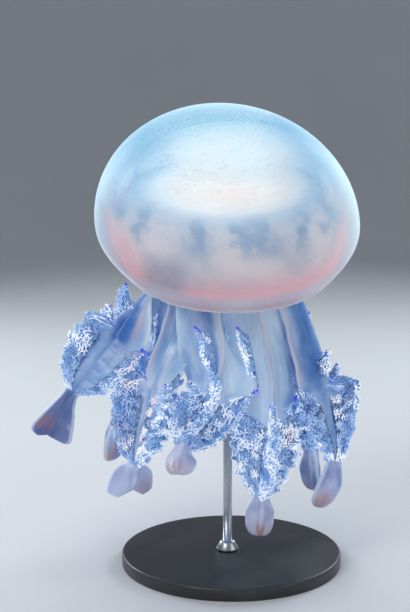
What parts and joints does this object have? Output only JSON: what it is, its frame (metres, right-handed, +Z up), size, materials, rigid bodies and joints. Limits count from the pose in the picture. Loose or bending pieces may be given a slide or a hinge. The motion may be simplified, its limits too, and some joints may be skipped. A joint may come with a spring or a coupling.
{
  "type": "barrel jellyfish display model",
  "caption": "Life-size barrel jellyfish, a still museum model on a plain disc and rod stand",
  "frame": {"origin": "centre of the stand's underside", "axes": "+Z up through the bell, +X to the right as seen from the front, -Y is the front, the side the bell leans to"},
  "size_m": [0.2528, 0.1966, 0.3586],
  "materials": {
    "bell_jelly": "clear milky blue jelly, finely granular skin",
    "margin_jelly": "thin clear grey-mauve jelly",
    "inner_tissue": "soft opaque white to rose tissue under the clear bell",
    "arm_jelly": "smooth milky blue jelly with a pale rose canal",
    "frill_tissue": "white branching frills over blue jelly, violet at the tips",
    "club_jelly": "smooth lilac-blue jelly with orange-brown streaks at the tip",
    "stand_black": "satin black acrylic",
    "stand_steel": "fine brushed steel"
  },
  "bodies": {
    "root": {"bell_umbrella": "bell_jelly", "bell_margin": "margin_jelly", "gastric_mass": "inner_tissue", "arm_disc": "inner_tissue", "pillar_1": "inner_tissue", "pillar_2": "inner_tissue", "pillar_3": "inner_tissue", "pillar_4": "inner_tissue", "arm_left_upper": "arm_jelly", "arm_left_frill": "frill_tissue", "arm_left_club": "club_jelly", "scapulet_left_1": "frill_tissue", "scapulet_left_2": "frill_tissue", "arm_left_back_upper": "arm_jelly", "arm_left_back_frill": "frill_tissue", "arm_left_back_club": "club_jelly", "scapulet_left_back_1": "frill_tissue", "scapulet_left_back_2": "frill_tissue", "arm_left_front_upper": "arm_jelly", "arm_left_front_frill": "frill_tissue", "arm_left_front_club": "club_jelly", "scapulet_left_front_1": "frill_tissue", "scapulet_left_front_2": "frill_tissue", "arm_front_left_upper": "arm_jelly", "arm_front_left_frill": "frill_tissue", "arm_front_left_club": "club_jelly", "scapulet_front_left_1": "frill_tissue", "scapulet_front_left_2": "frill_tissue", "arm_front_right_upper": "arm_jelly", "arm_front_right_frill": "frill_tissue", "arm_front_right_club": "club_jelly", "scapulet_front_right_1": "frill_tissue", "scapulet_front_right_2": "frill_tissue", "arm_right_front_upper": "arm_jelly", "arm_right_front_frill": "frill_tissue", "arm_right_front_club": "club_jelly", "scapulet_right_front_1": "frill_tissue", "scapulet_right_front_2": "frill_tissue", "arm_right_back_upper": "arm_jelly", "arm_right_back_frill": "frill_tissue", "arm_right_back_club": "club_jelly", "scapulet_right_back_1": "frill_tissue", "scapulet_right_back_2": "frill_tissue", "arm_back_upper": "arm_jelly", "arm_back_frill": "frill_tissue", "arm_back_club": "club_jelly", "scapulet_back_1": "frill_tissue", "scapulet_back_2": "frill_tissue", "stand_base": "stand_black", "stand_collar": "stand_steel", "stand_rod": "stand_steel", "stand_cup": "stand_steel"}
  },
  "joints": []
}
